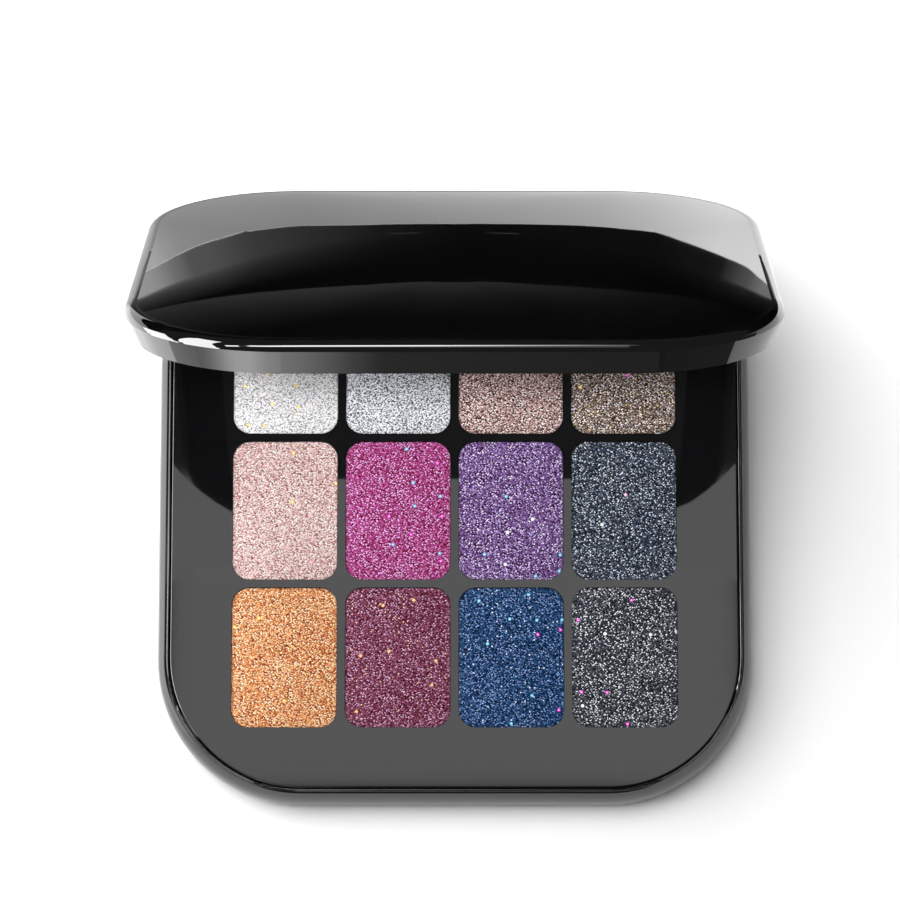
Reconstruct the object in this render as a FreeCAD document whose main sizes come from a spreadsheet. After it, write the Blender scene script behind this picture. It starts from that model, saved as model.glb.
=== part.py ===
import FreeCAD, Part
import math
import os
import Sketcher

# Eyeshadow palette: a hinged compact with a domed lid over a plate of pressed powders.
# Millimetres, Z up, hinge at the back (+Y), origin at the middle of the underside.
# The lid pieces are drawn closed and turned about the hinge line to the open rest pose.

Vector = FreeCAD.Vector

SIZES = (
    ("corner_radius", 25.0, "plan radius of the four corners"),
    ("base_height", 8.5, "underside to the ledge the lid closes on"),
    ("foot_radius", 3.4, "rounding of the underside edge, up to the widest line"),
    ("shoulder_run", 1.55, "how far the side leans in above the widest line"),
    ("ledge_width", 0.3, "flat ledge outside the lip"),
    ("lip_width", 0.45, "thickness of the lip that stands inside the lid"),
    ("lip_height", 1.0, "lip above the ledge"),
    ("floor_thickness", 1.4, "base floor"),
    ("fit_gap", 0.12, "side clearance of every dropped-in piece"),
    ("cover_recess", 0.2, "cover plate top below the lip top"),
    ("cover_thickness", 1.4, "cover plate"),
    ("cover_edge", 0.3, "rounding of the cover plate edge"),
    ("window_width", 18.1, "powder window across"),
    ("window_depth", 24.1, "powder window front to back"),
    ("window_radius", 3.0, "powder window corners"),
    ("window_columns", 4, "windows in a row"),
    ("window_rows", 3, "rows of windows"),
    ("window_bar", 1.35, "bar between neighbouring windows"),
    ("side_margin", 12.975, "case side to the outer windows"),
    ("front_margin", 12.75, "case front to the front row of windows"),
    ("back_margin", 13.65, "case back to the back row of windows"),
    ("pan_overlap", 0.25, "pan rim hidden under the window edge"),
    ("pan_sheet", 0.25, "pan sheet thickness"),
    ("pan_height", 4.4, "pan floor to rim"),
    ("pan_headroom", 0.1, "pan rim to cover plate"),
    ("pan_foot", 0.8, "rounding of the pan floor edge"),
    ("powder_gap", 0.05, "powder to pan wall"),
    ("powder_recess", 0.3, "powder below the cover plate top"),
    ("powder_edge", 0.15, "rounding of the powder's top edge"),
    ("closing_gap", 0.15, "lid edge to ledge when shut"),
    ("lid_overhang", 0.3, "lid side beyond the base side"),
    ("lid_skirt", 3.8, "leaning side of the lid, its height"),
    ("lid_lean", 1.6, "leaning side of the lid, its run"),
    ("lid_band", 0.15, "upright band between the lean and the bezel"),
    ("lid_wall", 1.7, "lid wall"),
    ("bezel_radius", 1.6, "rounding between lid side and top"),
    ("dome_inset", 1.7, "case side to the foot of the dome"),
    ("dome_rise", 4.5, "crown of the lid above its bezel"),
    ("lid_open_degrees", 63.8, "opening angle at rest"),
    ("frame_setback", 1.15, "mirror face above the lid edge"),
    ("frame_thickness", 2.6, "mirror frame"),
    ("mirror_margin", 8.2, "case side to the mirror's edge"),
    ("mirror_thickness", 1.5, "mirror glass"),
    ("mirror_chamfer", 0.3, "ground edge of the glass"),
    ("tape_thickness", 0.3, "tape behind the mirror"),
    ("tape_inset", 1.5, "mirror edge to tape edge"),
    ("pin_diameter", 1.2, "hinge pin"),
    ("pin_clearance", 0.05, "pin to bore, on the radius"),
    ("knuckle_diameter", 3.4, "hinge knuckles"),
    ("knuckle_length", 9.0, "each knuckle along the hinge"),
    ("knuckle_gap", 0.2, "between neighbouring knuckles"),
    ("knuckle_relief", 0.25, "knuckle to the cut it turns in"),
    ("magnet_diameter", 4.0, "closing magnets"),
    ("magnet_height", 2.0, "closing magnets"),
    ("magnet_inset", 5.4, "case front to magnet centre"),
    ("magnet_spacing", 48.0, "between the magnets of a pair"),
)

doc = FreeCAD.newDocument("palette")
dims = doc.addObject("Spreadsheet::Sheet", "dims")
for row, (name, number, note) in enumerate(SIZES, 1):
    dims.set(f"A{row}", name)
    dims.set(f"B{row}", str(number))
    dims.set(f"C{row}", note)
    dims.setAlias(f"B{row}", name)
doc.recompute()


def value(expression):
    return float(dims.evalExpression(expression))


# Heights and outlines used by more than one piece, as expressions of the sheet
PITCH_ACROSS = "(dims.window_width + dims.window_bar)"
PITCH_DEEP = "(dims.window_depth + dims.window_bar)"
GRID_WIDTH = f"({PITCH_ACROSS} * dims.window_columns - dims.window_bar)"
GRID_DEPTH = f"({PITCH_DEEP} * dims.window_rows - dims.window_bar)"
HALF_WIDTH = f"({GRID_WIDTH} / 2 + dims.side_margin)"
HALF_DEPTH = f"(({GRID_DEPTH} + dims.front_margin + dims.back_margin) / 2)"
LIP_IN = "(dims.shoulder_run + dims.ledge_width + dims.lip_width)"
COVER_TOP = "(dims.base_height + dims.lip_height - dims.cover_recess)"
COVER_BOTTOM = f"({COVER_TOP} - dims.cover_thickness)"
PAN_FLOOR = f"({COVER_BOTTOM} - dims.pan_headroom - dims.pan_height)"
LID_EDGE = "(dims.base_height + dims.closing_gap)"
BEZEL_TOP = f"({LID_EDGE} + dims.lid_skirt + dims.lid_band + dims.bezel_radius)"
FRAME_FACE = f"({LID_EDGE} + dims.frame_setback)"
FRAME_BACK = f"({FRAME_FACE} + dims.frame_thickness)"
HINGE_Y = HALF_DEPTH
HINGE_Z = "dims.base_height"
KNUCKLE_PITCH = "(dims.knuckle_length + dims.knuckle_gap)"
MAGNET_Y = f"({HALF_DEPTH} - dims.magnet_inset)"
LID_TURN = (
    "placement(vector(0; 0; 0); rotation(vector(-1; 0; 0); dims.lid_open_degrees);"
    f" vector(0; {HINGE_Y}; {HINGE_Z}))"
)


def new_body(name, turned=False):
    body = doc.addObject("PartDesign::Body", name)
    body.Label = name
    if turned:
        body.setExpression("Placement", LID_TURN)
    return body


def new_sketch(body, name, plane="XY_Plane", offset="0"):
    sketch = body.newObject("Sketcher::SketchObject", name)
    origin_plane = next(o for o in body.Origin.OriginFeatures if o.Role == plane)
    sketch.AttachmentSupport = [(origin_plane, "")]
    sketch.MapMode = "FlatFace"
    sketch.setExpression("AttachmentOffset.Base.z", offset)
    return sketch


def bind(sketch, name, constraint, expression):
    number = sketch.addConstraint(constraint)
    sketch.renameConstraint(number, name)
    sketch.setExpression(f"Constraints.{name}", expression)


def rounded_rectangle(sketch, half_width, front, back, radius, tag="r"):
    """Four sides and four tangent corners round the sketch's Y axis."""
    w, f, b, r = value(half_width), value(front), value(back), value(radius)
    corners = ((w - r, r - f), (w - r, b - r), (r - w, b - r), (r - w, r - f))
    sides = (
        ((r - w, -f), (w - r, -f)),
        ((w, r - f), (w, b - r)),
        ((w - r, b), (r - w, b)),
        ((-w, b - r), (-w, r - f)),
    )
    shapes = []
    turn = -math.pi / 2
    for (start, end), centre in zip(sides, corners):
        shapes.append(Part.LineSegment(Vector(*start, 0), Vector(*end, 0)))
        corner = Part.Circle(Vector(*centre, 0), Vector(0, 0, 1), r)
        shapes.append(Part.ArcOfCircle(corner, turn, turn + math.pi / 2))
        turn += math.pi / 2
    g = sketch.addGeometry(shapes, False)
    rule = Sketcher.Constraint
    rules = [rule("Tangent", g[i], 2, g[(i + 1) % 8], 1) for i in range(8)]
    rules += [rule("Horizontal", g[0]), rule("Horizontal", g[4])]
    rules += [rule("Vertical", g[2]), rule("Vertical", g[6])]
    rules += [rule("Equal", g[1], g[i]) for i in (3, 5, 7)]
    sketch.addConstraint(rules)
    bind(sketch, f"{tag}_right", rule("DistanceX", -1, 1, g[2], 1, w), half_width)
    bind(sketch, f"{tag}_left", rule("DistanceX", g[6], 1, -1, 1, w), half_width)
    bind(sketch, f"{tag}_front", rule("DistanceY", g[0], 1, -1, 1, f), front)
    bind(sketch, f"{tag}_back", rule("DistanceY", -1, 1, g[4], 1, b), back)
    bind(sketch, f"{tag}_radius", rule("Radius", g[1], r), radius)


def case_outline(sketch, inset="0"):
    """The case's rounded square, moved in from its side by the inset."""
    depth = f"{HALF_DEPTH} - {inset}"
    rounded_rectangle(
        sketch, f"{HALF_WIDTH} - {inset}", depth, depth, f"dims.corner_radius - {inset}"
    )


def circle(sketch, x, y, radius, tag="c"):
    """A circle at signed coordinates of the sketch."""
    g = sketch.addGeometry(
        Part.Circle(Vector(value(x), value(y), 0), Vector(0, 0, 1), value(radius)), False
    )
    rule = Sketcher.Constraint
    bind(sketch, f"{tag}_x", rule("DistanceX", -1, 1, g, 3, value(x)), x)
    bind(sketch, f"{tag}_y", rule("DistanceY", -1, 1, g, 3, value(y)), y)
    bind(sketch, f"{tag}_radius", rule("Radius", g, value(radius)), radius)


def pad(body, sketch, length):
    feature = body.newObject("PartDesign::Pad", f"{sketch.Name}_pad")
    feature.Profile = sketch
    feature.setExpression("Length", length)
    doc.recompute()
    return feature


def pocket(body, sketch, length, upward=False):
    """Cut from the sketch plane downward, or upward when asked."""
    feature = body.newObject("PartDesign::Pocket", f"{sketch.Name}_cut")
    feature.Profile = sketch
    feature.Reversed = upward
    feature.setExpression("Length", length)
    doc.recompute()
    return feature


def fillet(body, feature, radius, chosen):
    """Round the feature's edges that the test picks."""
    names = [f"Edge{i}" for i, edge in enumerate(feature.Shape.Edges, 1) if chosen(edge)]
    rounding = body.newObject("PartDesign::Fillet", f"{feature.Name}_round")
    rounding.Base = (feature, names)
    rounding.setExpression("Radius", radius)
    doc.recompute()
    return rounding


def lean(body, feature, run, rise, chosen):
    """Cut a side back from its picked lower edges, further up than in."""
    names = [f"Edge{i}" for i, edge in enumerate(feature.Shape.Edges, 1) if chosen(edge)]
    cut = body.newObject("PartDesign::Chamfer", f"{feature.Name}_lean")
    cut.Base = (feature, names)
    cut.ChamferType = "Two distances"
    cut.FlipDirection = True
    cut.setExpression("Size", run)
    cut.setExpression("Size2", rise)
    doc.recompute()
    return cut


def level(height):
    """Picks the edges that lie flat at one height of the body."""

    def flat_at(edge):
        box = edge.BoundBox
        return abs(box.ZMin - height) < 1e-4 and abs(box.ZMax - height) < 1e-4

    return flat_at


def linear(body, axis_sketch, axis, length, count):
    """One direction of a pattern; the count is bound to its cell."""
    pattern = body.newObject("PartDesign::LinearPattern", f"{axis_sketch.Name}_{axis[0]}")
    pattern.Direction = (axis_sketch, [axis])
    pattern.setExpression("Length", length)
    pattern.setExpression("Occurrences", count)
    return pattern


def over_windows(body, feature, sketch):
    """Repeat a cut at every window, from the front left one."""
    across = linear(
        body, sketch, "H_Axis", f"{PITCH_ACROSS} * (dims.window_columns - 1)", "dims.window_columns"
    )
    deep = linear(
        body, sketch, "V_Axis", f"{PITCH_DEEP} * (dims.window_rows - 1)", "dims.window_rows"
    )
    grid = body.newObject("PartDesign::MultiTransform", f"{feature.Name}_grid")
    grid.Originals = [feature]
    grid.Transformations = [across, deep]
    body.Tip = grid
    doc.recompute()
    return grid


def along_hinge(body, feature, sketch, count, length):
    """Repeat a hinge feature along X."""
    pattern = linear(body, sketch, "N_Axis", length, count)
    pattern.Originals = [feature]
    body.Tip = pattern
    doc.recompute()
    return pattern


FIRST_WINDOW_X = f"({HALF_WIDTH} - dims.side_margin - dims.window_width / 2)"
FIRST_WINDOW_Y = f"({HALF_DEPTH} - dims.front_margin - dims.window_depth / 2)"


def first_window(sketch, grow, radius_grow):
    """The front left window's outline, grown evenly; drawn at its place in the case."""
    half_width = f"dims.window_width / 2 + {grow}"
    half_depth = f"dims.window_depth / 2 + {grow}"
    rounded_rectangle(
        sketch, half_width, half_depth, half_depth, f"dims.window_radius + {radius_grow}"
    )
    sketch.setExpression("AttachmentOffset.Base.x", f"-{FIRST_WINDOW_X}")
    sketch.setExpression("AttachmentOffset.Base.y", f"-{FIRST_WINDOW_Y}")


# Base shell: one wall section carried round the outline, then the floor and the hinge
def wall_section(sketch):
    """Foot rounding, leaning shoulder, ledge, round-topped lip and inner wall, at the right side."""
    side = value(HALF_WIDTH)
    foot = value("dims.foot_radius")
    ledge = value("dims.base_height")
    run = value("dims.shoulder_run")
    lip_out = side - run - value("dims.ledge_width")
    lip_in = lip_out - value("dims.lip_width")
    lip_half = value("dims.lip_width") / 2
    lip_top = ledge + value("dims.lip_height")
    floor = value("dims.floor_thickness")
    rise = ledge - foot
    lean = (run * run + rise * rise) / (2 * run)
    angle = math.asin(rise / lean)
    normal = Vector(0, 0, 1)
    centre_x = side - foot
    shapes = [
        Part.LineSegment(Vector(lip_in - foot, 0, 0), Vector(centre_x, 0, 0)),
        Part.ArcOfCircle(Part.Circle(Vector(centre_x, foot, 0), normal, foot), -math.pi / 2, 0),
        Part.ArcOfCircle(Part.Circle(Vector(side - lean, foot, 0), normal, lean), 0, angle),
        Part.LineSegment(Vector(side - run, ledge, 0), Vector(lip_out, ledge, 0)),
        Part.LineSegment(Vector(lip_out, ledge, 0), Vector(lip_out, lip_top - lip_half, 0)),
        Part.ArcOfCircle(
            Part.Circle(Vector(lip_out - lip_half, lip_top - lip_half, 0), normal, lip_half), 0, math.pi
        ),
        Part.LineSegment(Vector(lip_in, lip_top - lip_half, 0), Vector(lip_in, floor, 0)),
        Part.LineSegment(Vector(lip_in, floor, 0), Vector(lip_in - foot, floor, 0)),
        Part.LineSegment(Vector(lip_in - foot, floor, 0), Vector(lip_in - foot, 0, 0)),
    ]
    g = sketch.addGeometry(shapes, False)
    rule = Sketcher.Constraint
    under, heel, shoulder, shelf, flank, crown, inside, top, close = g
    rules = [
        rule("Tangent", under, 2, heel, 1),
        rule("Tangent", heel, 2, shoulder, 1),
        rule("Coincident", shoulder, 2, shelf, 1),
        rule("Coincident", shelf, 2, flank, 1),
        rule("Tangent", flank, 2, crown, 1),
        rule("Tangent", crown, 2, inside, 1),
        rule("Coincident", inside, 2, top, 1),
        rule("Coincident", top, 2, close, 1),
        rule("Coincident", close, 2, under, 1),
        rule("Vertical", flank),
        rule("Vertical", close),
        rule("Horizontal", under),
        rule("Horizontal", shelf),
        rule("Horizontal", top),
        rule("PointOnObject", under, 1, -1),
        rule("Horizontal", heel, 3, heel, 2),
    ]
    sketch.addConstraint(rules)
    bind(sketch, "side", rule("DistanceX", -1, 1, heel, 2, side), HALF_WIDTH)
    bind(sketch, "foot", rule("Radius", heel, foot), "dims.foot_radius")
    bind(sketch, "ledge", rule("DistanceY", -1, 1, shelf, 1, ledge), "dims.base_height")
    bind(sketch, "run", rule("DistanceX", shelf, 1, heel, 2, run), "dims.shoulder_run")
    bind(sketch, "shelf", rule("DistanceX", shelf, 2, shelf, 1, side - run - lip_out), "dims.ledge_width")
    bind(sketch, "lip", rule("DistanceX", inside, 1, flank, 2, 2 * lip_half), "dims.lip_width")
    bind(
        sketch,
        "lip_flank",
        rule("DistanceY", flank, 1, flank, 2, lip_top - lip_half - ledge),
        "dims.lip_height - dims.lip_width / 2",
    )
    bind(sketch, "floor", rule("DistanceY", -1, 1, inside, 2, floor), "dims.floor_thickness")
    bind(sketch, "floor_run", rule("DistanceX", top, 2, top, 1, foot), "dims.foot_radius")


def hinge_sketch(body, name, radius, start):
    """A circle round the hinge line, drawn across X at the given start."""
    sketch = new_sketch(body, name, "YZ_Plane", start)
    circle(sketch, HINGE_Y, HINGE_Z, radius)
    return sketch


def knuckles(body, prefix, first, count, other_first, other_count):
    """Cut room for the other half's knuckles, then add this half's and bore them."""
    room = hinge_sketch(
        body,
        f"{prefix}_room",
        "dims.knuckle_diameter / 2 + dims.knuckle_relief",
        f"{other_first} - dims.knuckle_gap",
    )
    cut = pocket(body, room, "dims.knuckle_length + 2 * dims.knuckle_gap", upward=True)
    along_hinge(body, cut, room, str(other_count), f"2 * {KNUCKLE_PITCH} * {other_count - 1}")
    barrel = hinge_sketch(body, f"{prefix}_knuckle", "dims.knuckle_diameter / 2", first)
    added = pad(body, barrel, "dims.knuckle_length")
    along_hinge(body, added, barrel, str(count), f"2 * {KNUCKLE_PITCH} * {count - 1}")
    bore = hinge_sketch(
        body, f"{prefix}_bore", "dims.pin_diameter / 2 + dims.pin_clearance", f"{BASE_KNUCKLES} - 1"
    )
    pocket(body, bore, f"4 * {KNUCKLE_PITCH} + dims.knuckle_length + 2", upward=True)


BASE_KNUCKLES = f"(-2 * {KNUCKLE_PITCH} - dims.knuckle_length / 2)"
LID_KNUCKLES = f"(-{KNUCKLE_PITCH} - dims.knuckle_length / 2)"

base = new_body("base_shell")
spine = new_sketch(base, "base_outline")
case_outline(spine)
section = new_sketch(base, "base_section", "XZ_Plane")
wall_section(section)
doc.recompute()
wall = base.newObject("PartDesign::AdditivePipe", "base_wall")
wall.Profile = (section, [""])
wall.Spine = (spine, [f"Edge{i}" for i in range(1, 9)])
doc.recompute()
floor_sketch = new_sketch(base, "base_floor")
case_outline(floor_sketch, f"({LIP_IN} + dims.foot_radius / 2)")
pad(base, floor_sketch, "dims.floor_thickness")
knuckles(base, "base", BASE_KNUCKLES, 3, LID_KNUCKLES, 2)

# Tray that carries the pans, dropped on the base floor
tray = new_body("pan_tray")
tray_sketch = new_sketch(tray, "tray_outline", offset="dims.floor_thickness")
case_outline(tray_sketch, f"({LIP_IN} + dims.fit_gap)")
pad(tray, tray_sketch, f"{COVER_BOTTOM} - dims.floor_thickness")
tray_pan = new_sketch(tray, "tray_pan", offset=COVER_BOTTOM)
first_window(tray_pan, "dims.pan_overlap + dims.fit_gap", "dims.pan_overlap + dims.fit_gap")
tray_cut = pocket(tray, tray_pan, "dims.pan_headroom + dims.pan_height")
over_windows(tray, tray_cut, tray_pan)


def magnet_pair(sketch, grow="0"):
    for side, tag in (("-", "left"), ("", "right")):
        circle(
            sketch,
            f"{side}dims.magnet_spacing / 2",
            f"-{MAGNET_Y}",
            f"dims.magnet_diameter / 2 + {grow}",
            tag,
        )


tray_magnets = new_sketch(tray, "tray_magnets", offset=COVER_BOTTOM)
magnet_pair(tray_magnets, "dims.fit_gap")
pocket(tray, tray_magnets, "dims.magnet_height")

# Glossy cover plate with the windows, resting on the tray inside the lip
cover = new_body("cover_plate")
cover_sketch = new_sketch(cover, "cover_outline", offset=COVER_BOTTOM)
case_outline(cover_sketch, f"({LIP_IN} + dims.fit_gap)")
cover_pad = pad(cover, cover_sketch, "dims.cover_thickness")
fillet(cover, cover_pad, "dims.cover_edge", level(value(COVER_TOP)))
window = new_sketch(cover, "cover_window", offset=COVER_TOP)
first_window(window, "0", "0")
window_cut = pocket(cover, window, "dims.cover_thickness")
over_windows(cover, window_cut, window)

# Closing magnets under the front edge of the cover plate
base_magnets = new_body("base_magnets")
base_magnet_sketch = new_sketch(
    base_magnets, "base_magnet_outline", offset=f"{COVER_BOTTOM} - dims.magnet_height"
)
magnet_pair(base_magnet_sketch)
pad(base_magnets, base_magnet_sketch, "dims.magnet_height")


def window_place(column, row):
    """Placement that carries a piece drawn at the middle to its window; rows count from the back."""
    back_row = f"({row} - (dims.window_rows - 1))"
    x = f"{PITCH_ACROSS} * {column} - {FIRST_WINDOW_X}"
    y = f"-{FIRST_WINDOW_Y} - {PITCH_DEEP} * {back_row}"
    return f"placement(vector({x}; {y}; 0); rotation(vector(0; 0; 1); 0))"


def centred_window(sketch, grow):
    half_width = f"dims.window_width / 2 + {grow}"
    half_depth = f"dims.window_depth / 2 + {grow}"
    rounded_rectangle(sketch, half_width, half_depth, half_depth, f"dims.window_radius + {grow}")


def powder_pan(name, place):
    """A pressed sheet pan with a rounded foot."""
    body = new_body(name)
    body.setExpression("Placement", place)
    outline = new_sketch(body, f"{name}_outline", offset=PAN_FLOOR)
    centred_window(outline, "dims.pan_overlap")
    solid = pad(body, outline, "dims.pan_height")
    fillet(body, solid, "dims.pan_foot", level(value(PAN_FLOOR)))
    hollow = new_sketch(body, f"{name}_hollow", offset=f"{PAN_FLOOR} + dims.pan_height")
    centred_window(hollow, "dims.pan_overlap - dims.pan_sheet")
    opened = pocket(body, hollow, "dims.pan_height - dims.pan_sheet")
    inner = level(value(f"{PAN_FLOOR} + dims.pan_sheet"))
    fillet(body, opened, "dims.pan_foot - dims.pan_sheet", inner)


def powder_cake(name, place):
    """The pressed powder, filling its pan and standing up into the window."""
    body = new_body(name)
    body.setExpression("Placement", place)
    bottom = f"{PAN_FLOOR} + dims.pan_sheet"
    top = f"{COVER_TOP} - dims.powder_recess"
    outline = new_sketch(body, f"{name}_outline", offset=bottom)
    centred_window(outline, "dims.pan_overlap - dims.pan_sheet - dims.powder_gap")
    solid = pad(body, outline, f"{top} - ({bottom})")
    foot = fillet(body, solid, "dims.pan_foot - dims.pan_sheet", level(value(bottom)))
    fillet(body, foot, "dims.powder_edge", level(value(top)))


for row in range(int(value("dims.window_rows"))):
    for column in range(int(value("dims.window_columns"))):
        tag = f"r{row + 1}c{column + 1}"
        powder_pan(f"pan_{tag}", window_place(column, row))
        powder_cake(f"powder_{tag}", window_place(column, row))

# Lid shell: straight skirt, rounded bezel, pillow dome, recess for the mirror frame
# Sections of the dome from its foot up: size, and how far the corners go towards a circle
DOME_SECTIONS = ((1.0, 0.0), (0.88, 0.18), (0.72, 0.42), (0.52, 0.7), (0.3, 0.9), (0.12, 0.97), (0.03, 0.97))


def dome_section(body, name, scale, roundness, height):
    """The dome's outline shrunk about the middle of the lid, its corners rounder towards the crown."""
    sketch = new_sketch(body, name, offset=height)
    depth = f"({HALF_DEPTH} - dims.dome_inset) * {scale}"
    rounded_rectangle(
        sketch,
        f"({HALF_WIDTH} - dims.dome_inset) * {scale}",
        depth,
        depth,
        f"(({HALF_DEPTH} - dims.dome_inset) * {roundness}"
        f" + (dims.corner_radius - dims.dome_inset) * (1 - {roundness})) * {scale}",
    )
    return sketch


def dome_height(scale):
    return f"{BEZEL_TOP} + dims.dome_rise * {round(1 - scale**2, 4)}"


def loft(body, kind, name, sections):
    doc.recompute()
    feature = body.newObject(f"PartDesign::{kind}", name)
    feature.Profile = (sections[0], [""])
    feature.Sections = [(sketch, [""]) for sketch in sections[1:]]
    doc.recompute()
    return feature


lid = new_body("lid_shell", turned=True)
lid_sketch = new_sketch(lid, "lid_outline", offset=LID_EDGE)
case_outline(lid_sketch, "(-dims.lid_overhang)")
lid_pad = pad(lid, lid_sketch, "dims.lid_skirt + dims.lid_band + dims.bezel_radius")
lid_bezel = fillet(lid, lid_pad, "dims.bezel_radius", level(value(BEZEL_TOP)))
lean(lid, lid_bezel, "dims.lid_lean", "dims.lid_skirt", level(value(LID_EDGE)))
dome = [
    dome_section(lid, f"dome_{i}", scale, roundness, dome_height(scale))
    for i, (scale, roundness) in enumerate(DOME_SECTIONS)
]
loft(lid, "AdditiveLoft", "lid_dome", dome)
recess = new_sketch(lid, "lid_recess", offset=LID_EDGE)
case_outline(recess, "dims.lid_wall")
pocket(lid, recess, "dims.frame_setback + dims.frame_thickness", upward=True)
hollow = [dome_section(lid, "hollow_0", 0.94, 0.0, FRAME_BACK)]
hollow += [
    dome_section(lid, f"hollow_{i}", scale, roundness, f"{dome_height(scale)} - dims.lid_wall")
    for i, (scale, roundness) in enumerate(DOME_SECTIONS)
    if i
]
loft(lid, "SubtractiveLoft", "lid_hollow", hollow)
knuckles(lid, "lid", LID_KNUCKLES, 2, BASE_KNUCKLES, 3)

# Mirror frame, with the mirror taped into its face and the magnets behind it
frame = new_body("mirror_frame", turned=True)
frame_sketch = new_sketch(frame, "frame_outline", offset=FRAME_FACE)
case_outline(frame_sketch, "(dims.lid_wall + dims.fit_gap)")
frame_pad = pad(frame, frame_sketch, "dims.frame_thickness")
fillet(frame, frame_pad, "dims.cover_edge", level(value(FRAME_FACE)))
mirror_recess = new_sketch(frame, "mirror_recess", offset=FRAME_FACE)
case_outline(mirror_recess, "(dims.mirror_margin - dims.fit_gap)")
pocket(frame, mirror_recess, "dims.mirror_thickness + dims.tape_thickness", upward=True)
frame_magnets = new_sketch(frame, "frame_magnets", offset=FRAME_BACK)
magnet_pair(frame_magnets, "dims.fit_gap")
pocket(frame, frame_magnets, "dims.magnet_height")

mirror = new_body("mirror", turned=True)
mirror_sketch = new_sketch(mirror, "mirror_outline", offset=FRAME_FACE)
case_outline(mirror_sketch, "dims.mirror_margin")
glass = pad(mirror, mirror_sketch, "dims.mirror_thickness")
ground = mirror.newObject("PartDesign::Chamfer", "mirror_ground")
face_edges = level(value(FRAME_FACE))
ground.Base = (glass, [f"Edge{i}" for i, e in enumerate(glass.Shape.Edges, 1) if face_edges(e)])
ground.setExpression("Size", "dims.mirror_chamfer")

tape = new_body("mirror_tape", turned=True)
tape_sketch = new_sketch(tape, "tape_outline", offset=f"{FRAME_FACE} + dims.mirror_thickness")
case_outline(tape_sketch, "(dims.mirror_margin + dims.tape_inset)")
pad(tape, tape_sketch, "dims.tape_thickness")

lid_magnets = new_body("lid_magnets", turned=True)
lid_magnet_sketch = new_sketch(
    lid_magnets, "lid_magnet_outline", offset=f"{FRAME_BACK} - dims.magnet_height"
)
magnet_pair(lid_magnet_sketch)
pad(lid_magnets, lid_magnet_sketch, "dims.magnet_height")

# Hinge pin through all five knuckles
pin = new_body("hinge_pin")
pin_sketch = hinge_sketch(pin, "pin_outline", "dims.pin_diameter / 2", BASE_KNUCKLES)
pad(pin, pin_sketch, f"4 * {KNUCKLE_PITCH} + dims.knuckle_length")

doc.recompute()
for thing in doc.Objects:
    if "Invalid" in thing.State or "Error" in thing.State:
        raise RuntimeError(f"{thing.Name} did not build: {thing.State}")

os.makedirs("parts", exist_ok=True)
for body in doc.findObjects("PartDesign::Body"):
    shape = body.Shape
    if shape.isNull() or not shape.isValid():
        raise RuntimeError(f"{body.Label} has no valid shape")
    shape.exportStep(f"parts/{body.Label}.step")
    print(body.Label, round(shape.Volume, 1), len(shape.Solids), len(shape.Faces))
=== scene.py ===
import bpy
import bmesh
import math
from mathutils import Matrix, Vector

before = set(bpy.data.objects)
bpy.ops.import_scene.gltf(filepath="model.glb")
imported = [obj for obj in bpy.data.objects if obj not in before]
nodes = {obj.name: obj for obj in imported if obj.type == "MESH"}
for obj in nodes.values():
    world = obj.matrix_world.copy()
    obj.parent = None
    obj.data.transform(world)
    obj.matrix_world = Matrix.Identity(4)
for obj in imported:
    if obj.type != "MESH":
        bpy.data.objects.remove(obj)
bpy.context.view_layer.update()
scene = bpy.context.scene
print("frame loaded,", len(nodes), "CAD nodes")


def paint(r, g, b):                                # screen colour to linear, with alpha
    lift = lambda v: v / 12.92 if v <= 0.04045 else ((v + 0.055) / 1.055) ** 2.4
    return tuple(lift(v / 255) for v in (r, g, b)) + (1.0,)


class Wire:                                        # a socket that does maths in its node tree
    def __init__(self, tree, sock=None):
        self.tree, self.sock = tree, sock

    def node(self, kind, settings=None, sockets=None, out=0):
        made = self.tree.nodes.new("ShaderNode" + kind)
        for key, val in (settings or {}).items():
            if key == "stops":
                ramp = made.color_ramp
                while len(ramp.elements) < len(val):
                    ramp.elements.new(0.5)
                for stop, (place, colour) in zip(ramp.elements, val):
                    stop.position, stop.color = place, colour
            else:
                setattr(made, key, val)
        for key, val in (sockets or {}).items():
            if isinstance(val, Wire):
                self.tree.links.new(val.sock, made.inputs[key])
            else:
                made.inputs[key].default_value = val
        return Wire(self.tree, made.outputs[out])

    def calc(self, how, a, b=0.0):
        return self.node("Math", {"operation": how}, {0: a, 1: b})

    def __add__(self, other): return self.calc("ADD", self, other)
    def __radd__(self, other): return self.calc("ADD", other, self)
    def __sub__(self, other): return self.calc("SUBTRACT", self, other)
    def __rsub__(self, other): return self.calc("SUBTRACT", other, self)
    def __mul__(self, other): return self.calc("MULTIPLY", self, other)
    def __rmul__(self, other): return self.calc("MULTIPLY", other, self)
    def __gt__(self, other): return self.calc("GREATER_THAN", self, other)
    def __lt__(self, other): return self.calc("LESS_THAN", self, other)


def newFinish(name):                               # a material with its shader and object coordinates
    mat = bpy.data.materials.new(name)
    mat.use_nodes = True
    tree = mat.node_tree
    shader = tree.nodes["Principled BSDF"]
    pen = Wire(tree)
    place = pen.node("TexCoord", out="Object")
    return mat, shader, pen, place


def feed(pen, shader, **inputs):                   # numbers set, wires linked
    for key, val in inputs.items():
        socket = shader.inputs[key.replace("_", " ")]
        if isinstance(val, Wire):
            pen.tree.links.new(val.sock, socket)
        else:
            socket.default_value = val


def surface(pen, share, under, over):              # two shaders mixed into the material's output
    both = pen.node("MixShader", None, {0: share, 1: under, 2: over})
    pen.tree.links.new(both.sock, pen.tree.nodes["Material Output"].inputs["Surface"])


def blendColour(pen, share, under, over):
    return pen.node("Mix", {"data_type": "RGBA"}, {0: share, 6: under, 7: over}, out=2)


def noise(pen, place, scale, detail, rough=0.5):
    return pen.node("TexNoise", None, {"Vector": place, "Scale": scale, "Detail": detail, "Roughness": rough})


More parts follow.
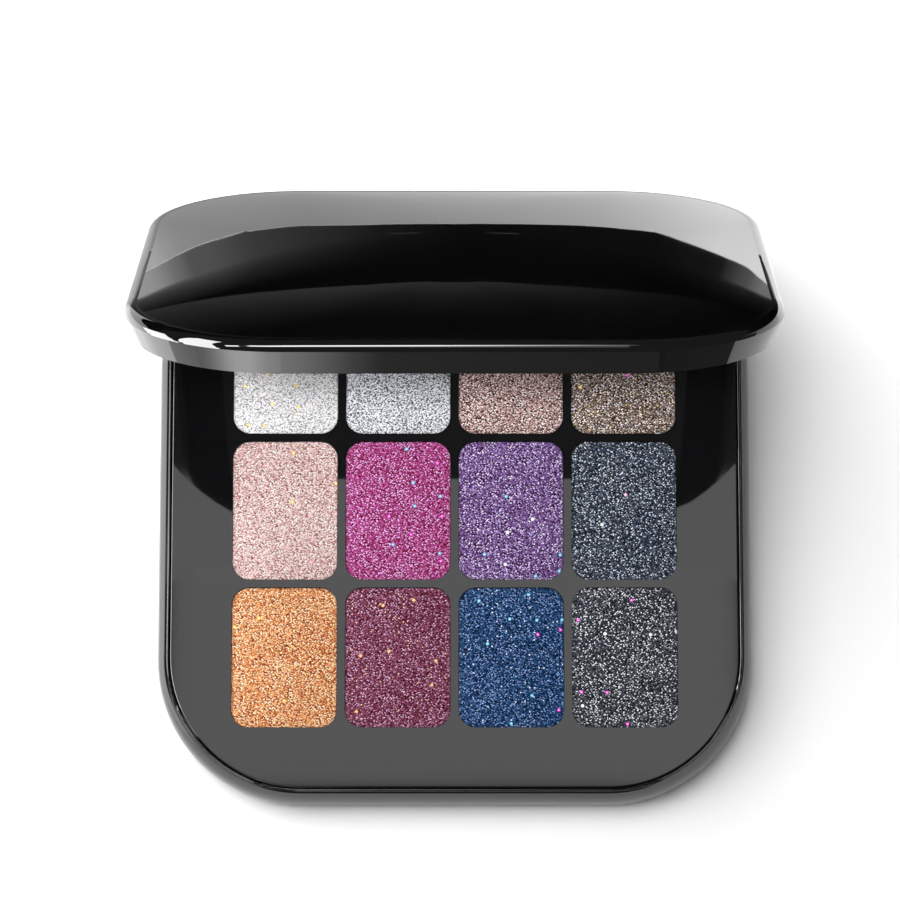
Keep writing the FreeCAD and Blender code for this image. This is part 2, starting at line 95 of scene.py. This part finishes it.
def cells(pen, place, size, out):                  # flat random cells, their colours or the distance to their middles
    return pen.node("TexVoronoi", {"voronoi_dimensions": "2D"}, {"Vector": place, "Scale": 1 / size}, out=out)


def channel(pen, colour, which):
    return pen.node("SeparateColor", None, {0: colour}, out=which)


def vector(pen, how, a, b):
    return pen.node("VectorMath", {"operation": how}, {0: a, 1: b})


# moulded black plastic
plastics = {
    "caseBlack": {"deep": (7, 7, 8), "worn": (17, 17, 19), "rough": 0.022, "spread": 0.014,
                  "ripple": 0.004, "index": 1.58},
    "plateBlack": {"deep": (8, 8, 9), "worn": (18, 18, 20), "rough": 0.04, "spread": 0.02,
                   "ripple": 0.008, "index": 1.55},
    "trayBlack": {"deep": (24, 24, 25), "worn": (38, 38, 40), "rough": 0.45, "spread": 0.1,
                  "ripple": 0.08, "index": 1.5},
}
plasticSkin = {"cloud": 55.0, "pores": 2600.0, "flow": 18.0, "poreRough": 0.5, "poreDepth": 0.04, "depth": 0.0004}


def plasticFinish(name, look):
    mat, shader, pen, place = newFinish(name)
    skin = plasticSkin
    cloud = noise(pen, place, skin["cloud"], 4.0, 0.6)
    pores = noise(pen, place, skin["pores"], 2.0)
    flow = noise(pen, place, skin["flow"], 1.0)
    colour = blendColour(pen, cloud, paint(*look["deep"]), paint(*look["worn"]))
    rough = look["rough"] + (cloud - 0.5) * look["spread"] + (pores - 0.5) * look["spread"] * skin["poreRough"]
    bumps = pen.node("Bump", None, {"Strength": look["ripple"], "Distance": skin["depth"],
                                    "Height": flow + pores * skin["poreDepth"]})
    feed(pen, shader, Base_Color=colour, Roughness=rough, Normal=bumps, IOR=look["index"])
    return mat


# thin sheet, wire, nickel and glass
metals = {
    "panSheet": {"dull": (178, 178, 176), "bright": (214, 214, 212), "rough": 0.32, "grain": 900.0},
    "pinWire": {"dull": (150, 150, 150), "bright": (196, 196, 196), "rough": 0.28, "grain": 2200.0},
    "magnetNickel": {"dull": (176, 172, 164), "bright": (214, 210, 202), "rough": 0.2, "grain": 700.0},
    "mirrorSilver": {"dull": (232, 234, 234), "bright": (240, 241, 241), "rough": 0.015, "grain": 60.0},
}
metalWear = {"least": 0.8, "swing": 0.4}           # share of the roughness, from dull grain to bright


def metalFinish(name, look):
    mat, shader, pen, place = newFinish(name)
    grain = noise(pen, place, look["grain"], 3.0)
    colour = blendColour(pen, grain, paint(*look["dull"]), paint(*look["bright"]))
    rough = look["rough"] * (metalWear["least"] + grain * metalWear["swing"])
    feed(pen, shader, Base_Color=colour, Metallic=1.0, Roughness=rough)
    return mat


# paper-backed tape behind the glass
tapePaper = {"dull": (206, 204, 198), "bright": (232, 231, 227), "fibre": 1500.0, "rough": 0.75, "swing": 0.15}


def tapeFinish(look):
    mat, shader, pen, place = newFinish("tapePaper")
    fibre = noise(pen, place, look["fibre"], 4.0)
    colour = blendColour(pen, fibre, paint(*look["dull"]), paint(*look["bright"]))
    feed(pen, shader, Base_Color=colour, Roughness=look["rough"] + fibre * look["swing"])
    return mat


# pressed powders: deep, middle and light tones of the grain, then a near-white glint tone that is a painted sparkle
# of the brightest flakes; then coloured flecks and dots of painted glints, each as two tints and a share
yellow, cyan, magenta, white = (252, 222, 96), (96, 196, 236), (250, 40, 220), (250, 250, 255)
powders = {
    "r1c1": {"rare": 2.4, "tones": ((133, 133, 135), (239, 236, 241), (243, 242, 242), (248, 245, 242)),
             "flecks": (yellow, yellow, 0.7), "glintDots": (white, yellow, 0.08)},
    "r1c2": {"rare": 2.2, "tones": ((50, 49, 56), (193, 196, 203), (236, 237, 244), (249, 252, 252)),
             "flecks": (white, white, 0.0), "glintDots": (white, white, 0.14)},
    "r1c3": {"rare": 2.2, "tones": ((31, 6, 4), (155, 119, 115), (212, 182, 178), (245, 245, 243)),
             "flecks": (white, yellow, 0.0), "glintDots": (white, (250, 214, 200), 0.12)},
    "r1c4": {"rare": 2.4, "tones": ((20, 6, 2), (106, 87, 76), (160, 141, 132), (253, 250, 247)),
             "flecks": (yellow, magenta, 0.4), "glintDots": (yellow, (150, 190, 250), 0.22)},
    "r2c1": {"rare": 2.4, "tones": ((145, 87, 80), (218, 182, 177), (235, 216, 214), (250, 253, 250)),
             "flecks": (yellow, (250, 170, 200), 0.4), "glintDots": (white, (250, 220, 225), 0.12)},
    "r2c2": {"rare": 2.2, "tones": ((99, 4, 35), (157, 55, 112), (188, 85, 160), (234, 204, 246)),
             "flecks": (cyan, magenta, 0.5), "glintDots": ((250, 200, 250), (240, 150, 240), 0.14)},
    "r2c3": {"rare": 2.6, "tones": ((34, 4, 34), (104, 67, 121), (144, 114, 179), (228, 219, 241)),
             "flecks": (cyan, white, 0.4), "glintDots": (white, (190, 180, 250), 0.2)},
    "r2c4": {"rare": 3.6, "tones": ((3, 4, 7), (43, 49, 60), (80, 87, 106), (222, 231, 238)),
             "flecks": (white, (250, 190, 220), 0.15), "glintDots": (white, (180, 210, 250), 0.26)},
    "r3c1": {"rare": 2.2, "tones": ((139, 46, 6), (222, 144, 91), (243, 191, 134), (248, 252, 227)),
             "flecks": (yellow, (250, 150, 60), 0.25), "glintDots": ((255, 246, 214), yellow, 0.14)},
    "r3c2": {"rare": 2.8, "tones": ((55, 2, 8), (114, 49, 71), (146, 82, 110), (222, 189, 221)),
             "flecks": ((244, 196, 90), (240, 170, 80), 0.35), "glintDots": ((250, 214, 150), (240, 180, 210), 0.16)},
    "r3c3": {"rare": 3.2, "tones": ((2, 5, 24), (24, 54, 93), (51, 92, 140), (164, 184, 231)),
             "flecks": (cyan, magenta, 0.45), "glintDots": (white, (130, 190, 250), 0.16)},
    "r3c4": {"rare": 3.6, "tones": ((2, 3, 7), (50, 51, 60), (87, 90, 101), (249, 254, 254)),
             "flecks": (magenta, white, 0.3), "glintDots": (white, (220, 220, 240), 0.3)},
}
powderGrain = {"cell": 0.0004, "base": 0.38, "swing": 1.9, "fall": 2.3, "grit": 0.0002, "fine": 0.85,
               "turn": 0.6, "stretch": 1.35, "drift": 0.16, "driftScale": 140.0, "stops": (0.0, 0.4, 0.7, 1.0),
               "glintGap": 0.0008, "glintSize": 0.00012, "fleckGap": 0.0042, "fleckSize": 0.0003, "pale": 0.6,
               "tilt": 0.5, "crown": 18.0, "metal": 0.04, "sheen": 0.02, "rough": 0.38, "roughSwing": 0.2,
               "wave": 0.0004}


def dots(pen, place, gap, size, share):            # round dots at random spots, their middles, and a random pick
    near = cells(pen, place, gap, "Distance")
    pick = cells(pen, place, gap, "Color")
    chosen = channel(pen, pick, 0) < share
    return (near < size / gap) * chosen, (near < size * 0.5 / gap) * chosen, channel(pen, pick, 1)


def powderFinish(tag, recipe):
    mat, shader, pen, place = newFinish("powder_" + tag)
    look = powderGrain
    turned = pen.node("Mapping", None, {"Vector": place, "Rotation": (0.0, 0.0, look["turn"]),
                                        "Scale": (1.0, look["stretch"], 1.0)})
    tints = cells(pen, turned, look["cell"], "Color")
    near = cells(pen, turned, look["cell"], "Distance")
    chance = channel(pen, tints, 0)
    grit = channel(pen, cells(pen, turned, look["grit"], "Color"), 1)
    drift = noise(pen, turned, look["driftScale"], 3.0)
    # bright humps at the middles of some grain cells lift those grains to the light tone, the grain's own lighter
    # flakes, and lift the rarest to the glint tone, a painted sparkle
    brightGrainAndGlint = pen.calc("POWER", chance, recipe["rare"]) * (1.0 - near * look["fall"])
    level = look["base"] + brightGrainAndGlint * look["swing"]
    level = level + (grit - 0.5) * look["fine"] + (drift - 0.5) * look["drift"]
    tones = [paint(*tone) for tone in recipe["tones"]]
    colour = pen.node("ValToRGB", {"stops": list(zip(look["stops"], tones))}, {0: level})
    # the small dots are glitter specks coloured at the brightness of their sparkle, a painted glint; the flecks are
    # coloured glitter, and the middle of every dot and fleck is whitened as a painted highlight
    for kind, gap, size in (("glintDots", look["glintGap"], look["glintSize"]),
                            ("flecks", look["fleckGap"], look["fleckSize"])):
        first, second, share = recipe[kind]
        on, middle, pick = dots(pen, place, gap, size, share)
        tint = blendColour(pen, pick > 0.5, paint(*first), paint(*second))
        tint = blendColour(pen, middle * look["pale"], tint, paint(255, 255, 255))
        colour = blendColour(pen, on, colour, tint)

    # each grain leans its own way, and the pressed top is a little crowned
    lean = vector(pen, "SUBTRACT", tints, (0.5, 0.5, 0.5))
    lean = pen.node("VectorMath", {"operation": "SCALE"}, {0: lean, "Scale": look["tilt"]})
    corners = [Vector(c) for c in nodes["powder_" + tag].bound_box]
    away = vector(pen, "SUBTRACT", place, sum(corners, Vector()) / 8)
    crown = vector(pen, "MULTIPLY", away, (look["crown"], look["crown"] * 0.5, 0.0))
    lean = vector(pen, "ADD", lean, crown)
    press = pen.node("Bump", None, {"Strength": 1.0, "Distance": look["wave"], "Height": drift})
    flakes = vector(pen, "ADD", press, lean)
    flakes = pen.node("VectorMath", {"operation": "NORMALIZE"}, {0: flakes})
    feed(pen, shader, Base_Color=colour, Metallic=look["metal"], Normal=flakes, Specular_IOR_Level=look["sheen"],
         Roughness=look["rough"] + (chance - 0.5) * look["roughSwing"])
    return mat


def dress(node, mat):                              # a CAD node keeps its shape and takes a finish
    for spot in nodes[node].material_slots:
        spot.material = mat


plastic = {name: plasticFinish(name, look) for name, look in plastics.items()}
metal = {name: metalFinish(name, look) for name, look in metals.items()}
for node in ("base_shell", "lid_shell", "mirror_frame"):
    dress(node, plastic["caseBlack"])
dress("cover_plate", plastic["plateBlack"])
dress("pan_tray", plastic["trayBlack"])
dress("mirror", metal["mirrorSilver"])
dress("mirror_tape", tapeFinish(tapePaper))
dress("hinge_pin", metal["pinWire"])
for node in ("base_magnets", "lid_magnets"):
    dress(node, metal["magnetNickel"])
for tag, recipe in powders.items():
    dress("pan_" + tag, metal["panSheet"])
    dress("powder_" + tag, powderFinish(tag, recipe))
print("finishes on,", len(powders), "powders")


# studio: pale floor, soft boxes, and cards that only reflections see; the cards are no lamps and glow only to paint
# reflections and highlights
studio = {"floorSize": 6.0, "floorTone": (250, 250, 250), "floorCloud": 3.0, "cloudShare": 0.2, "floorRough": 0.9,
          "floorSheen": 0.1, "floorLift": 0.04, "nearFloor": 0.3, "whiten": 3.0, "worldTone": 0.1}


def stageMesh(name, build, mat):
    bm = bmesh.new()
    build(bm)
    mesh = bpy.data.meshes.new(name)
    bm.to_mesh(mesh)
    bm.free()
    mesh.materials.append(mat)
    obj = bpy.data.objects.new(name, mesh)
    scene.collection.objects.link(obj)
    return obj


def floorFinish():                                 # pale, lifted a little where it is looked at, and white far off
    mat, shader, pen, place = newFinish("floorPale")
    cloud = noise(pen, place, studio["floorCloud"], 2.0)
    colour = blendColour(pen, cloud * studio["cloudShare"], paint(*studio["floorTone"]), paint(255, 255, 255))
    feed(pen, shader, Base_Color=colour, Roughness=studio["floorRough"], Specular_IOR_Level=studio["floorSheen"])
    looked = pen.node("LightPath", out="Is Camera Ray")
    seen = looked
    for path in ("Is Glossy Ray", "Is Transmission Ray"):
        seen = pen.calc("MAXIMUM", seen, pen.node("LightPath", out=path))
    off = pen.node("VectorMath", {"operation": "LENGTH"}, {0: place}, out="Value")
    far = pen.node("Clamp", None, {0: (off - studio["nearFloor"]) * studio["whiten"]})
    bright = pen.node("Emission", None, {"Color": (1.0, 1.0, 1.0, 1.0), "Strength": 1.0})
    share = seen * studio["floorLift"] + looked * far * (1 - studio["floorLift"])
    surface(pen, share, Wire(pen.tree, shader.outputs[0]), bright)
    return mat


floor = stageMesh("floor", lambda bm: bmesh.ops.create_grid(
    bm, x_segments=1, y_segments=1, size=studio["floorSize"] / 2), floorFinish())


def rounded(line, times=3):                        # corners cut away until the line runs smooth
    for step in range(times):
        cut = [line[0]]
        for (ax, ay), (bx, by) in zip(line, line[1:]):
            cut += [(ax * 0.75 + bx * 0.25, ay * 0.75 + by * 0.25),
                    (ax * 0.25 + bx * 0.75, ay * 0.25 + by * 0.75)]
        line = cut + [line[-1]]
    return tuple(line)


# edge on the floor behind the lid where, in reflections only, the pale floor ends and the painted dark reflection of
# the dark card begins, in millimetres
farEdge = rounded((
    (-85, 78), (-66, 80), (-61, 79), (-57, 78.5), (-53, 78), (-49, 77.8), (-43, 78.3), (-36.8, 77.5),
    (-30.6, 76.2), (-22, 77.9), (-13.5, 78.7), (0, 79.6), (15.6, 78.3), (24.2, 77.4), (30, 77.5), (36, 78.3),
    (42, 79), (54, 79.3), (59, 79.5), (61, 80.4), (63, 81.3), (65, 82.3), (70, 84), (90, 90), (130, 95)))

# cards, each a painted reflection or highlight: the plane they lie in and its level, their outline in that plane in
# millimetres, and layers of glow along x and y, some folded back at the middle
foldRound = 0.00006                                # rounds the fold, in square metres
plain = ((-3000, 1.0), (3000, 1.0))                # no change along y
cards = {
    # dark sheet just above the floor behind the lid, seen only in reflections: a painted dark reflection over the
    # lid's dome where the floor is pale, and its layers paint the grey reflection bands and the folded arch across
    # the dome
    "darkCard": {
        "flat": (2, 0.8),
        "outline": farEdge + ((300, 110), (2900, 300), (2900, 2900), (-2900, 2900), (-2900, 20), (-350, 20),
                              (-350, 164), (-85, 150)),
        "layers": (
            {"x": ((-62, 0.25), (-52, 0.25), (-49, 0.24), (-41, 0.13), (-31, 0.08), (-15, 0.022), (0, 0.006),
                   (40, 0.006), (53, 0.02), (59, 0.05)),
             "y": ((86, 1.0), (90, 0.7), (97, 0.35), (104, 0.1), (108, 0.0))},
            {"x": ((-65, 0.72), (-62, 0.65), (-60, 0.5), (-57, 0.25), (-53, 0.0), (54, 0.0), (57, 0.09),
                   (60, 0.18), (63, 0.42)),
             "y": ((84.5, 1.0), (88, 0.05), (91, 0.0))},
            {"x": ((-57, 0.095), (-30, 0.125), (0, 0.105), (25, 0.05), (40, 0.02), (60, 0.0)), "bend": 0.43,
             "y": ((132.1, 0.0), (132.7, 1.0), (139, 0.72), (147, 0.4), (160, 0.16), (177, 0.0))})},
    # glowing sheet on the floor from behind the lid to the far edge, seen only in reflections: paints the grey
    # reflection along the top of the lid's dome, brightest at the right
    "backCard": {
        "flat": (2, 0.6),
        "outline": tuple(reversed(farEdge)) + ((-77, 45), (130, 45)),
        "layers": (
            {"x": ((-60, 1.2), (-57, 0.95), (-54, 0.8), (-48, 0.74), (-40, 0.7), (-27, 0.64), (-10, 0.72), (0, 0.78),
                   (10, 0.85), (20, 0.95), (27, 1.05), (36, 1.3), (41, 1.5), (47, 1.75), (52, 1.95), (60, 2.05)),
             "y": ((58, 0.8), (79, 1.0))},)},
    # glowing sheet 40 mm up, facing down and seen only in reflections: paints the grey reflection in the cover plate
    # in front of the lid
    "plateCard": {
        "flat": (2, 40.0), "down": True,
        "outline": ((-51, -8.7), (-46, -6), (46, -6), (51, -8.7), (51, 13.2), (50.4, 12.6), (47.7, 9.9), (45, 7.6),
                    (42.3, 5.7), (39.8, 4.7), (34, 6.6), (28, 10), (-28, 10), (-34, 6.6), (-40, 4), (-43, 5.8),
                    (-45.7, 7.8), (-48.4, 10.2), (-51, 13)),
        "layers": ({"x": ((-60, 1.8), (60, 1.8)), "y": plain},)},
    # bright strip 150 mm up, facing down and seen only in reflections: paints the thin white highlight line along the
    # lid's bezel
    "lineCard": {
        "flat": (2, 150.0), "down": True,
        "outline": ((-77, -3), (-63.6, 4), (-50.4, 11), (-25, 16.5), (0, 20), (20, 23), (40, 23), (40, 35), (20, 35),
                    (0, 32), (-25, 29), (-50.4, 23), (-63.6, 16), (-77, 9)),
        "layers": (
            {"x": ((-77, 17.0), (-62, 17.0), (-60, 0.6), (-54, 0.6), (-50, 17.0), (-25, 20.0), (-5, 19.0), (0, 16.0),
                   (6, 12.5), (12, 8.5), (24, 3.3), (30, 1.6), (37, 0.1)),
             "y": plain},)},
    # bright sheet standing 140 mm to the left, seen only in reflections: paints the white highlight blob on the left
    # corner of the lid's bezel
    "blobCard": {
        "flat": (0, -140.0),
        "outline": ((-90, 104), (-12, 108), (4, 114), (34, 131), (70, 146), (100, 160), (100, 223), (86, 219),
                    (11, 188), (-49, 177), (-90, 167)),
        "layers": ({"x": ((-200, 17.0), (0, 17.0)), "y": plain},)},
    # bright sheet standing 140 mm to the left, seen only in reflections: paints the thin white highlight line on the
    # base's lip
    "lipCard": {
        "flat": (0, -140.0),
        "outline": ((-60, 50), (44, 50), (44, 100), (-60, 100)),
        "layers": ({"x": ((-200, 14.0), (0, 14.0)), "y": plain},)},
    # sheet standing 200 mm in front, seen only in reflections: paints the lid skirt's reflection, bright at the left
    # and fading to dark
    "skirtCard": {
        "flat": (1, -200.0),
        "outline": ((-240, 2), (100, 2), (100, 150), (-240, 150)),
        "layers": (
            {"x": ((-240, 1.3), (-221, 1.5), (-196, 2.15), (-174, 3.1), (-152, 4.4), (-132, 5.3), (-100, 5.5),
                   (-60, 3.8), (-36, 3.0), (-31, 2.35), (-26.8, 1.7), (-20.8, 0.82), (-14.8, 0.33), (0, 0.27),
                   (29, 0.21), (100, 0.2)),
             "y": plain},)},
    # sheet on the floor at the left, seen only in reflections: paints the bright reflection in the left side of the
    # base and lid, with a narrow painted dark seam
    "leftCard": {
        "flat": (2, 0.6),
        "outline": ((-54.5, -149), (-54.5, 45), (-80, 45), (-90, 85), (-260, 85), (-260, 6), (-163, -67)),
        "layers": (
            {"x": ((-260, 3.4), (-165, 3.2), (-143, 3.05), (-127, 2.75), (-100, 2.6), (-90, 2.0), (-67, 1.9),
                   (-65, 0.05), (-61.8, 0.05), (-61, 2.2), (-58.5, 2.05), (-56.7, 1.7), (-55, 1.35), (-53, 0.9)),
             "y": plain},)},
    # dim sheet on the floor to the right and in front, seen only in reflections: paints the dark part of the lid
    # skirt's reflection at the right
    "rightCard": {
        "flat": (2, 0.6),
        "outline": ((94, -142), (50, -170), (50, -2950), (2950, -2950), (2950, 55), (400, 55), (178, -88)),
        "layers": ({"x": ((0, 0.12), (3000, 0.12)), "y": plain},)},
}


def slope(pen, along, steps):                      # a ramp through (place in millimetres, glow) steps, and its peak
    low, high = steps[0][0], steps[-1][0]
    peak = max(glow for place, glow in steps)
    stops = [((place - low) / (high - low), (glow / peak,) * 3 + (1.0,)) for place, glow in steps]
    return pen.node("ValToRGB", {"stops": stops}, {0: (along * 1000 - low) * (1 / (high - low))}), peak


def cardFinish(name, card):
    mat, shader, pen, place = newFinish(name)
    across = pen.node("SeparateXYZ", None, {0: place}, out=0)
    back = pen.node("SeparateXYZ", None, {0: place}, out=1)
    total = 0.0
    for layer in card["layers"]:
        side, peak = slope(pen, across, layer["x"])
        fold = pen.calc("SQRT", across * across + foldRound) * layer.get("bend", 0.0)
        depth, top = slope(pen, back + fold, layer["y"])
        total = side * depth * (peak * top) + total
    glow = pen.node("CombineColor", None, {0: total, 1: total, 2: total})
    # black and glowing: the glow is a painted reflection, since only reflected rays reach the card
    feed(pen, shader, Base_Color=(0.0, 0.0, 0.0, 1.0), Roughness=1.0, Specular_IOR_Level=0.0,
         Emission_Color=glow, Emission_Strength=1.0)
    if card.get("down"):                           # clear from above, so only what lies below sees it
        clear, away = pen.node("BsdfTransparent"), pen.node("NewGeometry", out="Backfacing")
        surface(pen, away, Wire(pen.tree, shader.outputs[0]), clear)
    return mat


def layCard(card):
    def build(bm):
        axis, level = card["flat"]
        corners = []
        for pair in card["outline"]:
            spot = list(pair)
            spot.insert(axis, level)
            corners.append(bm.verts.new([v / 1000 for v in spot]))
        face = bm.faces.new(corners)
        bm.normal_update()
        if card.get("down") and face.normal.z > 0:
            face.normal_flip()
        bmesh.ops.triangulate(bm, faces=[face])
    return build


# the cards stay out of the camera, diffuse light and shadows, so they show only as painted reflections and highlights
for name, card in cards.items():
    sheet = stageMesh(name, layCard(card), cardFinish(name, card))
    for sight in ("camera", "diffuse", "shadow", "transmission", "volume_scatter"):
        setattr(sheet, "visible_" + sight, False)

# world, white where it is looked at
world = bpy.data.worlds.new("studio")
scene.world = world
world.use_nodes = True
sky = Wire(world.node_tree)
tone = sky.node("LightPath", out="Is Camera Ray") * (1 - studio["worldTone"]) + studio["worldTone"]
backdrop = world.node_tree.nodes["Background"]
world.node_tree.links.new(tone.sock, backdrop.inputs["Strength"])
backdrop.inputs["Color"].default_value = (1.0, 1.0, 1.0, 1.0)

# lamps: dull ones stay out of reflections, and all but the floor's own keep off the floor
lamps = {
    "stripTop": {"at": (-0.03, -0.128, 1.0), "look": (-0.03, -0.128, 0.0), "wide": 0.5, "tall": 0.06,
                 "glow": 79.0, "dull": True},
    "boxPlate": {"at": (0.0, 0.0897, 0.9), "look": (0.0, 0.0897, 0.0), "wide": 0.222, "tall": 0.1213,
                 "glow": 1.8},
    "boxLeft": {"at": (-0.86, -0.07, 0.56), "look": (-0.03, 0.0, 0.08), "wide": 0.2, "tall": 0.6,
                "glow": 4.5, "dull": True},
    "boxSide": {"at": (-0.76, -0.54, 0.52), "look": (-0.03, 0.0, 0.09), "wide": 0.45, "tall": 0.5,
                "glow": 0.5, "dull": True},
    "boxFar": {"at": (0.1, -1.0, 0.5), "look": (0.0, 0.0, 0.02), "wide": 1.2, "tall": 0.5,
               "glow": 0.35, "dull": True},
    "boxFloor": {"at": (-0.825, 0.755, 1.0), "look": (-0.825, 0.755, 0.0), "wide": 1.85, "tall": 1.89,
                 "glow": 5.2, "dull": True, "floor": "only"},
}


def reach(lamp, state):                            # keeps a lamp off the floor, or on the floor alone
    group = bpy.data.collections.new(lamp.name + "Reach")
    group.objects.link(floor)
    lamp.light_linking.receiver_collection = group
    group.collection_objects[0].light_linking.link_state = state


for name, lamp in lamps.items():
    data = bpy.data.lights.new(name, "AREA")
    data.shape, data.size, data.size_y = "RECTANGLE", lamp["wide"], lamp["tall"]
    data.energy = lamp["glow"] * math.pi * lamp["wide"] * lamp["tall"]
    obj = bpy.data.objects.new(name, data)
    way = Vector(lamp["look"]) - Vector(lamp["at"])
    obj.matrix_world = Matrix.Translation(lamp["at"]) @ way.to_track_quat("-Z", "Y").to_matrix().to_4x4()
    obj.visible_camera, obj.visible_glossy = False, not lamp.get("dull")
    scene.collection.objects.link(obj)
    reach(obj, "INCLUDE" if lamp.get("floor") == "only" else "EXCLUDE")
print("studio set")


# camera at the photograph's angle: metres and degrees, then pixels of the square picture
view = {"target": (0.0, -0.00045, 0.0093), "height": 81.2, "away": 0.704, "scale": 5.807,
        "imageX": 454.5, "imageY": 510.28, "frame": 900, "sensor": 36.0}
focal = view["scale"] * view["away"] * 1000        # in pixels
tilt = math.atan((view["imageY"] - view["frame"] / 2) / focal)
lens = bpy.data.cameras.new("camera")
lens.sensor_width = view["sensor"]
lens.lens = focal * view["sensor"] / view["frame"]
lens.shift_x = -(view["imageX"] - view["frame"] / 2) / view["frame"]
lens.clip_start = 0.05
camera = bpy.data.objects.new("camera", lens)
rise = math.radians(view["height"])
spot = Vector(view["target"]) + view["away"] * Vector((0, -math.cos(rise), math.sin(rise)))
turn = Matrix.Rotation(math.pi / 2 - rise + tilt, 4, "X")
camera.matrix_world = Matrix.Translation(spot) @ turn
scene.collection.objects.link(camera)
scene.camera = camera
scene.view_settings.view_transform = "Standard"
print("camera set, lens", round(lens.lens, 1), "mm")
